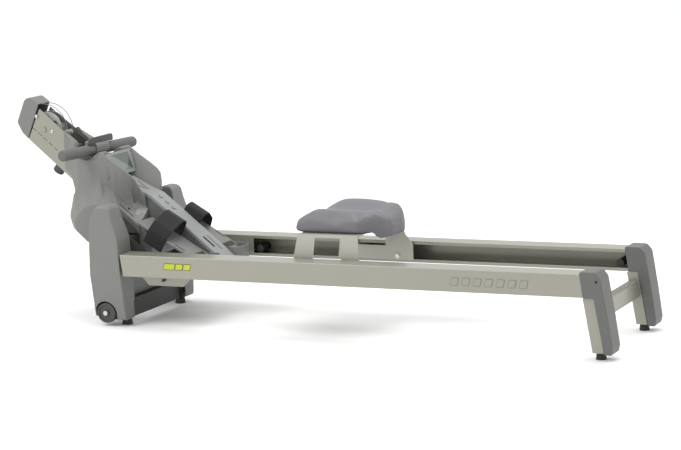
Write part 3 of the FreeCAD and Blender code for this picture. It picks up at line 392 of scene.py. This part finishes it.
DISPLAY = display_material()
CAD_LOOKS = {
    "champagne_metal": CHAMPAGNE, "dark_steel": DARK_STEEL, "grey_plastic": GREY,
    "light_plastic": LIGHT, "dark_plastic": DARK_PLASTIC, "display_glass": DISPLAY,
    "rubber": RUBBER, "foam": FOAM, "webbing": WEBBING, "belt_rubber": BELT,
    "pad_vinyl": VINYL, "bright_steel": STEEL, "pulley_alloy": PALE, "cast_iron": IRON}
OWN_LOOKS = {"castor_left": TYRE_GREY, "castor_right": TYRE_GREY, "base_frame": DARK_STEEL,
             "seat_carriage": CARRIAGE_PAINT_LIT, "boom_axles": CHAMPAGNE, "boom_bolts": CHAMPAGNE,
             "key_mode": LIGHT, "key_set": LIGHT, "key_reset": LIGHT}


def paint_cad():
    """Give each CAD node the look of its slot in the record."""
    for entry in frame["record"]["subparts"]:
        node = entry["node"]
        look = OWN_LOOKS.get(node, CAD_LOOKS[entry["material_slot"]])
        data = frame["nodes"][node].data
        data.materials.clear()
        data.materials.append(look)


# ---- tower -------------------------------------------------------------------------------
# side-view outlines of the shoulder at growing distances from the middle plane
SHOULDER = [
    (84, [(-279, 368, 22), (-263, 432, 30), (-205, 476, 30), (-160, 524, 20), (-112, 486, 10),
          (-56, 404, 10), (-50, 232, 10), (-205, 272, 20), (-268, 332, 16)]),
    (119, [(-262, 356, 22), (-240, 405, 30), (-192, 442, 30), (-141, 492, 14), (-116, 450, 10),
           (-66, 400, 10), (-50, 236, 10), (-196, 278, 20), (-252, 324, 16)]),
    (150, [(-240, 350, 22), (-215, 385, 30), (-180, 420, 30), (-130, 442, 20), (-108, 420, 10),
           (-76, 390, 10), (-64, 240, 10), (-182, 280, 20), (-230, 318, 16)]),
    (176, [(-212, 345, 20), (-195, 370, 30), (-166, 398, 30), (-126, 410, 20), (-104, 398, 10),
           (-82, 376, 10), (-74, 244, 10), (-160, 276, 20), (-204, 314, 16)])]
# station, and the deck's height at its inner and at its outer edge
DECK_RINGS = [(-131, 464, 452), (-100, 449, 427), (-70, 431, 402), (-30, 405, 370), (13, 382, 334)]


# station, top, half width at the top, half width at the foot, and the foot's height
HAUNCH = [(-168, 549, 92, 115, 466), (-150, 568, 97, 117, 484), (-138, 576, 98.5, 117, 484),
          (-115, 560, 98, 110, 461), (-90, 540, 97, 97, 435), (-60, 521, 97, 79, 414),
          (-34, 503, 95, 64, 397)]
BROW = [(-182, 545, 2), (-182, 556, 6), (-152, 577, 6), (-138, 577, 3), (-138, 545, 2)]


def haunch(sign):
    """The cheek's outer side, running from its top edge down to the deck, thinner rearward."""
    rings = []
    for x, top, reach, foot, low in HAUNCH:
        root = 437 - (x + 100) * 0.594
        rings.append([at(x, sign * y, z) for y, z in
                      ((51, root), (reach - 4, top - 3), (reach, top - 1), (foot, low),
                       (foot - 3, low - 14), (51, root - 14))])
    return loft("haunch", rings)


def deck_solid(sign):
    """The sloping deck beside the spine, a little lower at its outer edge."""
    rings = []
    for x, inner, outer in DECK_RINGS:
        low = outer - 30
        rings.append([at(x, sign * DECK_IN, inner), at(x, sign * DECK_OUT, outer),
                      at(x, sign * DECK_OUT, low), at(x, sign * DECK_IN, low)])
    return loft("deck", rings)


def tower_shell():
    """Both shells with their cheeks, decks and shoulders, as one moulding."""
    pieces = [copy_of("shell_left", "shell_right")]
    for _, sign in SIDES:
        pieces.append(side_loft("shoulder", flipped(SHOULDER, sign)))
        pieces.append(haunch(sign))
        pieces.append(slab("brow", BROW, sign * 50, sign * 95))
        pieces.append(deck_solid(sign))
    shell = moulded(joined("shell", pieces), 2.4, 10)
    dress(shell, "tower_shell", GREY, "base", ("shell_left", "shell_right"), 60)


def deck_panels():
    """The lighter deck faces."""
    for name, sign in SIDES:
        rings = []
        for x, inner, outer in DECK_RINGS:
            rings.append([at(x, sign * (DECK_IN + 2), inner - 0.4),
                          at(x, sign * (DECK_OUT - 5), outer + 1.4),
                          at(x, sign * (DECK_OUT - 5), outer - 3),
                          at(x, sign * (DECK_IN + 2), inner - 4)])
        panel = eased(loft("panel", rings), 0.6)
        dress(panel, "deck_panel_" + name, LIGHT, "base")


def spine():
    """The spine cover as a smooth moulding."""
    cover = moulded(copy_of("spine_cover"), 1.6, 5)
    dress(cover, "spine_moulding", LIGHT, "base", ("spine_cover",), 50)


def deck_height(x, y):
    """Height of the deck panel's face at a station, for |y| across it."""
    for (x0, in0, out0), (x1, in1, out1) in zip(DECK_RINGS, DECK_RINGS[1:]):
        if x <= x1:
            along = (x - x0) / (x1 - x0)
            inner, outer = in0 + (in1 - in0) * along, out0 + (out1 - out0) * along
            return inner + (outer + 1.4 - inner) * (y - DECK_IN - 2) / (DECK_OUT - DECK_IN - 7)
    return DECK_RINGS[-1][1]


def deck_marks():
    """A dark slot and a dark screw on each deck panel."""
    for name, sign in SIDES:
        for kind, xs, y, half in (("slot", (-74, -58, -42, -26, -12), 110, 1.6),
                                  ("screw", (-39, -35.5, -32), 97, 3.2)):
            rings = []
            for x in xs:
                rings.append([at(x, sign * (y + dy), deck_height(x, y + dy) + dz)
                              for dy, dz in ((-half, 0.9), (half, 0.9), (half, -1), (-half, -1))])
            dress(loft("mark", rings), f"deck_{kind}_{name}", SEAM, "base")


# side-view outline of the painted shade laid over each side face of the spine
SPINE_FLANK_SHADE = [(-28, 437, 6), (24, 414, 10), (97, 358, 30), (264, 226, 14), (294, 204, 6),
               (289, 192, 4), (242, 195, 8), (74, 290, 3), (-28, 352, 3)]
ARROW = [(-62, 25, 464), (-8, 1, 438.6), (-13, 1, 440.9), (-66, 21, 465.9)]


def spine_marks():
    """The spine's flanks painted darker as painted shade, a pressed arrow ahead of the keys
    painted as a dark patch of shade, and a plain printed tag.
    """
    for name, sign in SIDES:
        # a thin dark sheet of painted shade over the spine's shaded side face
        flank = slab("flank", SPINE_FLANK_SHADE, sign * (SPINE_HALF - 1), sign * (SPINE_HALF + 0.7))
        dress(flank, "spine_flank_painted_shade_" + name, COVER_GREY_AND_SHADE, "base")
        # a thin dark sheet of painted shade where the arrow is pressed in
        arrow = [at(x, sign * y, z) for x, y, z in ARROW]
        rings = [[point + Vector((0, 0, rise)) for point in arrow] for rise in (0.0006, -0.002)]
        dress(loft("arrow", rings), "spine_arrow_painted_shade_" + name, COVER_GREY_AND_SHADE, "base")
    for i, (x, y, length, half) in enumerate(((206, -14, 42, 5), (206, 12, 58, 1.2))):
        rings = []
        for across in (y - half, y + half):
            z = 368 - (x - 100) * SPINE_FALL
            drop = length * SPINE_FALL
            rings.append([at(x, across, z + 0.8), at(x + length, across, z - drop + 0.8),
                          at(x + length, across, z - drop - 2), at(x, across, z - 2)])
        dress(loft("tag", rings), f"spine_tag_{i}", SEAM, "base")


def console_recess():
    """The dark lining between the cheeks behind the display."""
    lining = slab("lining", [(-144, 566, 4), (-112, 482, 2), (-122, 480, 2), (-154, 560, 4)],
                  -86, 86)
    dress(lining, "console_lining", DARK_PLASTIC, "base")


# ---- leg covers, rear covers and nose cap --------------------------------------------------
def leg_covers():
    """Both front leg covers with every edge softly rounded."""
    covers = moulded(copy_of("leg_covers"), 1.8, 14)
    dress(covers, "leg_mouldings", GREY, "base", ("leg_covers",), 60)


def leg_panel():
    """The flat panel between the front legs, with crisp edges."""
    panel = slab("panel", [(-33, 84.5), (-33, 206), (-28, 206), (-28, 84.5)], -175, 175)
    dress(panel, "leg_panel", GREY, "base")


def rear_covers():
    """The covers at the rails' ends, softened."""
    covers = moulded(copy_of("rear_covers"), 1.5, 6)
    dress(covers, "rear_mouldings", COVER_GREY_AND_SHADE, "rails", ("rear_covers",), 60)


def boom_cap():
    """The nose cap with soft corners."""
    cap = moulded(copy_of("boom_cap"), 1.2, 6)
    dress(cap, "cap_moulding", GREY, "base", ("boom_cap",), 60)


# ---- handle --------------------------------------------------------------------------------
def handle_point(x, y, z):
    """A point of the handle in its own level frame, hung at its rest tilt."""
    angle = -math.radians(HANDLE_TILT)
    rise = z * math.cos(angle) + y * math.sin(angle)
    out = y * math.cos(angle) - z * math.sin(angle)
    return at(HANDLE[0] + x, out, HANDLE[1] + rise)


def handle():
    """Foam grips with soft ends, and the moulded block that grips the bar."""
    for name, sign in SIDES:
        path = [42, 46, 52, 120, 190] + [HANDLE_HALF - back for back in (13, 5.5, 1.8, 0)]
        size = [15, 18.2, GRIP_R, GRIP_R, GRIP_R, GRIP_R, 18.6, 15.5, 9]
        grip = tube("grip", [handle_point(0, sign * y, 0) for y in path],
                    [r / 1000 for r in size], 36)
        dress(grip, "grip_" + name, FOAM, "handle", ("grips",) if sign < 0 else (), 60)
    block = moulded(copy_of("handle_bar"), 1.5, 16)
    dress(block, "handle_moulding", GREY, "handle", ("handle_bar",), 60)
    rest = moulded(copy_of("handle_rest"), 1.0, 4)
    dress(rest, "handle_stops", DARK_PLASTIC, "base", ("handle_rest",), 60)
    outline = rounded([(-81, 599, 5), (-75, 622.5, 7), (77, 622.5, 7), (81, 599, 5)])
    tab = loft("tab", [[at(x, y, z) for y, z in outline] for x in (-200, -191)])
    dress(eased(tab, 1.5), "handle_tab", DARK_PLASTIC, "handle")


# ---- seat ------------------------------------------------------------------------------------
def seat_half_width(t):
    """Half the cushion's width along it: squarish at its front (t 0), rounder at its back."""
    front, back = min(1, t / 0.13) ** 0.36, min(1, (1 - t) / 0.24) ** 0.45
    return 26 + 138 * min(front, back)


def seat_top(t, across):
    """Height of the cushion over its base; across is 0 in the middle and 1 at an edge."""
    body = 60 + 7 * math.sin(math.pi * min(1, t * 1.2) ** 0.8)
    end = min(1, t / 0.26) ** 0.7 * min(1, (1 - t) / 0.12) ** 0.5
    dish = -20 * math.exp(-((across / 0.42) ** 2)) * math.sin(math.pi * t) ** 0.7
    shoulder = 1 - max(0, (across - 0.8) / 0.2) ** 2 * 0.3
    waist = -8 * math.exp(-(((t - 0.75) / 0.028) ** 2)) * across ** 3
    return (body + dish) * (0.3 + 0.7 * end) * shoulder + waist


def seat_droop(t):
    """How far the cushion's underside hangs below its base behind the board."""
    return 24 * min(1, max(0, (t - 0.87) / 0.05))


def seat_shape():
    """The cushion before it is filled out: a grid of tops over a flat base."""
    rows, columns = 40, 28
    length = SEAT_BACK - SEAT_FRONT
    points, faces = [], []
    for i in range(rows + 1):
        t = 0.004 + 0.992 * i / rows
        for j in range(columns + 1):
            v = -1 + 2 * j / columns
            y = v * seat_half_width(t)
            x, z = risen(SEAT_FRONT + length * t, SEAT_BASE + seat_top(t, abs(v)))
            points.append(at(x, y, z))
    top_count = len(points)
    for i in range(rows + 1):
        t = 0.004 + 0.992 * i / rows
        for j in range(columns + 1):
            v = -1 + 2 * j / columns
            y = v * (seat_half_width(t) - 1.5)
            x, z = risen(SEAT_FRONT + length * t, SEAT_BASE + 0.4 - seat_droop(t))
            points.append(at(x, y, z))
    width = columns + 1
    for i in range(rows):
        for j in range(columns):
            a = i * width + j
            faces.append([a, a + 1, a + width + 1, a + width])
            b = top_count + a
            faces.append([b, b + width, b + width + 1, b + 1])
    for i in range(rows):
        for j in (0, columns):
            a, b = i * width + j, (i + 1) * width + j
            faces.append([a, b, top_count + b, top_count + a])
    for j in range(columns):
        for i in (0, rows):
            a = i * width + j
            faces.append([a, a + 1, top_count + a + 1, top_count + a])
    return make("cushion", points, faces)


def fill_out(piece, voxel, pressure, frames, most, held_below):
    """Let a stuffed piece swell as cloth held near its base, by at most a few mm."""
    modified(piece, "REMESH", mode="VOXEL", voxel_size=voxel / 1000)
    modified(piece, "SMOOTH", factor=0.5, iterations=4)
    rest = [v.co.copy() for v in piece.data.vertices]
    held = piece.vertex_groups.new(name="held")
    held.add([v.index for v in piece.data.vertices if v.co.z < held_below / 1000], 1, "ADD")
    cloth = piece.modifiers.new("cloth", "CLOTH")
    cloth.settings.quality = 6
    cloth.settings.mass = 0.3
    cloth.settings.tension_stiffness = 25
    cloth.settings.compression_stiffness = 25
    cloth.settings.bending_stiffness = 2
    cloth.settings.use_pressure = True
    cloth.settings.uniform_pressure_force = pressure
    cloth.settings.vertex_group_mass = "held"
    cloth.settings.effector_weights.gravity = 0
    cloth.point_cache.frame_start = 1
    cloth.point_cache.frame_end = frames
    for step in range(1, frames + 1):
        bpy.context.scene.frame_set(step)
    with bpy.context.temp_override(object=piece, active_object=piece,
                                   selected_objects=[piece]):
        bpy.ops.object.modifier_apply(modifier=cloth.name)
    bpy.context.scene.frame_set(1)
    for vertex, before in zip(piece.data.vertices, rest):
        move = vertex.co - before
        if move.length > most / 1000:
            vertex.co = before + move.normalized() * (most / 1000)
    return modified(piece, "SMOOTH", factor=0.5, iterations=3)


def seat():
    """The padded cushion, filled out as cloth over foam."""
    cushion = seat_shape()
    fill_out(cushion, 5, 4.0, 20, 5, SEAT_BASE + 16)
    dress(cushion, "seat_cushion", VINYL, "seat", ("seat_pad",), 80)


# ---- pedals, straps and knobs ----------------------------------------------------------------
def pedals():
    """Foot plates and their wide straps, softened, with a printed line on each plate."""
    for name, sign in SIDES:
        body = "pedal_" + name
        plate = moulded(copy_of(body), 1.5, 5)
        dress(plate, "foot_plate_" + name, GREY, body, (body,), 60)
        band = moulded(copy_of("pedal_strap_" + name), 1.3, 5)
        dress(band, "foot_strap_" + name, WEBBING, body, ("pedal_strap_" + name,), 60)
        x0, x1 = 168, 204
        z0, z1 = (FOOT_TOP[1] - (x - FOOT_TOP[0]) * FOOT_FALL for x in (x0, x1))
        line = slab("line", [(x0, z0 + 0.8), (x1, z1 + 0.8), (x1, z1 - 1), (x0, z0 - 1)],
                    sign * 146, sign * 149)
        dress(line, "foot_line_" + name, SEAM, body)


def pull_strap():
    """The free strap, drawn in many short lengths."""
    (x0, z0), (x1, z1) = STRAP_NEAR, STRAP_FAR
    rings = []
    for step in range(41):
        x, z = x0 + (x1 - x0) * step / 40, z0 + (z1 - z0) * step / 40
        rings.append([at(x + dx, y, z + dz) for dx, dz, y in
                      ((0.46, 0.65, -12.5), (0.46, 0.65, 12.5), (-0.46, -0.65, 12.5),
                       (-0.46, -0.65, -12.5))])
    strap = loft("strap", rings)
    strap.name = strap.data.name = "strap_webbing"
    strap.data.materials.append(WEBBING)
    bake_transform(strap)
    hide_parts("pull_strap")


def knob():
    """The fluted load knob under the boom."""
    down = Vector((-0.629, 0, -0.777))
    across, up = Vector((0, 1, 0)), Vector((0.777, 0, -0.629))
    foot = at(KNOB_FOOT[0], 0, KNOB_FOOT[1])
    rings = []
    for depth, inset in ((8, 3), (9.5, 0.6), (12, 0), (31, 0), (34, 1.4), (35, 5)):
        ring = []
        for step in range(96):
            turn = 2 * math.pi * step / 96
            reach = (KNOB_R - inset - 0.5 + 0.5 * math.cos(16 * turn)) / 1000
            ring.append(foot + down * depth / 1000
                        + (across * math.cos(turn) + up * math.sin(turn)) * reach)
        rings.append(ring)
    dress(loft("knob", rings), "knob_grip", RUBBER, "resistance_knob")


def guard_wires():
    """The bent wires over the pulley."""
    for name, sign in SIDES:
        path = []
        for step in range(25):
            t = step / 24
            turn = math.radians(112 - 118 * t)
            path.append(at(PULLEY[0] + 69 * math.cos(turn) + 16 * t, sign * 18,
                           PULLEY[1] + 68 * math.sin(turn) - 22 * t))
        wire = tube("wire", path, 0.0013, 12)
        dress(wire, "guard_wire_" + name, WIRE, "base",
              ("strap_guard",) if sign < 0 else ())


def dome(name, x, y, z, radius, material, body):
    """A low domed screw head on a side face."""
    way = Vector((0, math.copysign(1, y), 0))
    rings = [[at(x, y, z) + way * (h * radius / 1000)
              + Vector((math.cos(a), 0, math.sin(a))) * (r * radius / 1000)
              for a in (2 * math.pi * s / 28 for s in range(28))]
             for h, r in ((0, 1), (0.18, 0.95), (0.34, 0.75), (0.42, 0.4), (0.44, 0.1))]
    dress(loft("dome", rings), name, material, body, (), 60)


def flat_mark(name, outline, y, material, body, thick=0.35):
    """A printed or embossed shape on a side face."""
    far = y + math.copysign(thick, y)
    dress(slab("mark", outline, y - math.copysign(0.3, y), far), name, material, body)


def slanted(x, z, width, height, lean, radius):
    """A leaning rounded block as a side-view outline."""
    return [(x, z, radius), (x + width, z, radius), (x + width + lean, z + height, radius),
            (x + lean, z + height, radius)]


def rail_marks():
    """Plain shapes in place of the badge and the embossed lettering."""
    x = 186
    for i, width in enumerate((40, 26, 26)):
        cx, cz = risen(x, 214.5)
        flat_mark(f"badge_edge_{i}", slanted(cx - 1.6, cz - 1.6, width + 3.2, 22, 6, 5),
                  -RAIL_FACE, SEAM, "rails", 0.3)
        flat_mark(f"badge_{i}", slanted(cx, cz, width, 18.8, 6, 4), -RAIL_FACE, BADGE, "rails",
                  0.6)
        x += width + 4
    for i in range(7):
        cx, cz = risen(1222 + 39 * i, 204)
        flat_mark(f"emboss_{i}", slanted(cx, cz, 27, 27, 7, 5), -RAIL_FACE, EMBOSS, "rails",
                  0.5)
        flat_mark(f"emboss_face_{i}", slanted(cx + 2.2, cz + 2.2, 22.6, 22.6, 6, 3.5),
                  -RAIL_FACE, CHAMPAGNE, "rails", 0.9)


def boom_marks():
    """Bright screw heads and a short row of plain dashes on the boom's side."""
    for name, sign in SIDES:
        dome("boom_dome_a_" + name, -428, sign * (BOOM_HALF + 3.4), 690.5, 6.6, STEEL, "base")
        dome("boom_dome_b_" + name, -369, sign * BOOM_HALF, 637, 6.6, STEEL, "base")
        for i in range(5):
            x, z = -446 + 21 * i, 651 - 17 * i
            flat_mark(f"boom_dash_{name}_{i}",
                      [(x, z), (x + 15, z - 12.1), (x + 13.9, z - 13.5), (x - 1.1, z - 1.4)],
                      sign * BOOM_HALF, SEAM, "base", 0.25)


def screw_wells():
    """Dark screw wells by the rear covers' back edges."""
    for name, sign in SIDES:
        for i, (x, z, half) in enumerate(((1711, 253, 271), (1746, 62, 261.5))):
            dome(f"screw_well_{name}_{i}", x, sign * half, z, 4.6, SEAM, "rails")


# ---- stage -------------------------------------------------------------------------------------
def camera():
    """The camera at the photo's angle."""
    yaw, pitch, roll = (math.radians(a) for a in (CAMERA_YAW, CAMERA_PITCH, CAMERA_ROLL))
    ahead = Vector((-math.sin(yaw) * math.cos(pitch), math.cos(yaw) * math.cos(pitch),
                    -math.sin(pitch)))
    right = Vector((math.cos(yaw), math.sin(yaw), 0))
    up = right.cross(ahead)
    tipped_right = right * math.cos(roll) + up * math.sin(roll)
    tipped_up = up * math.cos(roll) - right * math.sin(roll)
    data = bpy.data.cameras.new("camera")
    data.lens = LENS
    data.sensor_width = 36
    data.sensor_fit = "HORIZONTAL"
    data.dof.use_dof = False
    eye = bpy.data.objects.new("camera", data)
    turn = Matrix((tipped_right, tipped_up, -ahead)).transposed().to_4x4()
    eye.matrix_world = Matrix.Translation(CAMERA_AT) @ turn
    bpy.context.collection.objects.link(eye)
    bpy.context.scene.camera = eye
    return eye


def lamp(name, place, aim, size, energy):
    """A soft square lamp aimed at a point."""
    data = bpy.data.lights.new(name, "AREA")
    data.size = size
    data.energy = energy
    light = bpy.data.objects.new(name, data)
    light.location = place
    light.rotation_euler = (Vector(aim) - Vector(place)).to_track_quat("-Z", "Y").to_euler()
    bpy.context.collection.objects.link(light)
    return light


def stage():
    """A pale floor, a white surround and soft studio lamps."""
    floor = make("floor", [(-30, -30, 0), (30, -30, 0), (30, 30, 0), (-30, 30, 0)],
                 [[0, 1, 2, 3]])
    floor.data.materials.append(plain("floor_white", (0.95, 0.95, 0.95), 0.8)[0])
    lamps = [lamp("key", (-2.4, -3.2, 3.6), (0, 0, 0.2), 2.2, 95),
             lamp("top", (0.6, 0.8, 4.2), (0, 0, 0), 3.0, 90)]
    world = bpy.data.worlds.new("white_room")
    world.use_nodes = True
    glow = world.node_tree.nodes["Background"]
    glow.inputs["Color"].default_value = (1, 1, 1, 1)
    glow.inputs["Strength"].default_value = 1.05
    bpy.context.scene.world = world
    bpy.context.scene.view_settings.view_transform = "Standard"
    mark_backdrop(floor, *lamps)


def visual_box():
    """The box round every shown piece of the object, in metres."""
    bpy.context.view_layer.update()
    graph = bpy.context.evaluated_depsgraph_get()
    low, high = Vector((1e9,) * 3), Vector((-1e9,) * 3)
    for piece in bpy.context.scene.objects:
        if piece.type != "MESH" or piece.hide_render or piece.get("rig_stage"):
            continue
        shown = piece.evaluated_get(graph)
        for vertex in shown.data.vertices:
            point = shown.matrix_world @ vertex.co
            low = Vector(map(min, low, point))
            high = Vector(map(max, high, point))
    return [list(low), list(high)]


paint_cad()
tower_shell()
deck_panels()
deck_marks()
spine()
spine_marks()
console_recess()
leg_covers()
leg_panel()
rear_covers()
boom_cap()
handle()
seat()
pedals()
pull_strap()
knob()
guard_wires()
rail_marks()
boom_marks()
screw_wells()
camera()
stage()

({"cad_box_m": [list(corner) for corner in CAD_BOX],
           "visual_box_m": visual_box()})
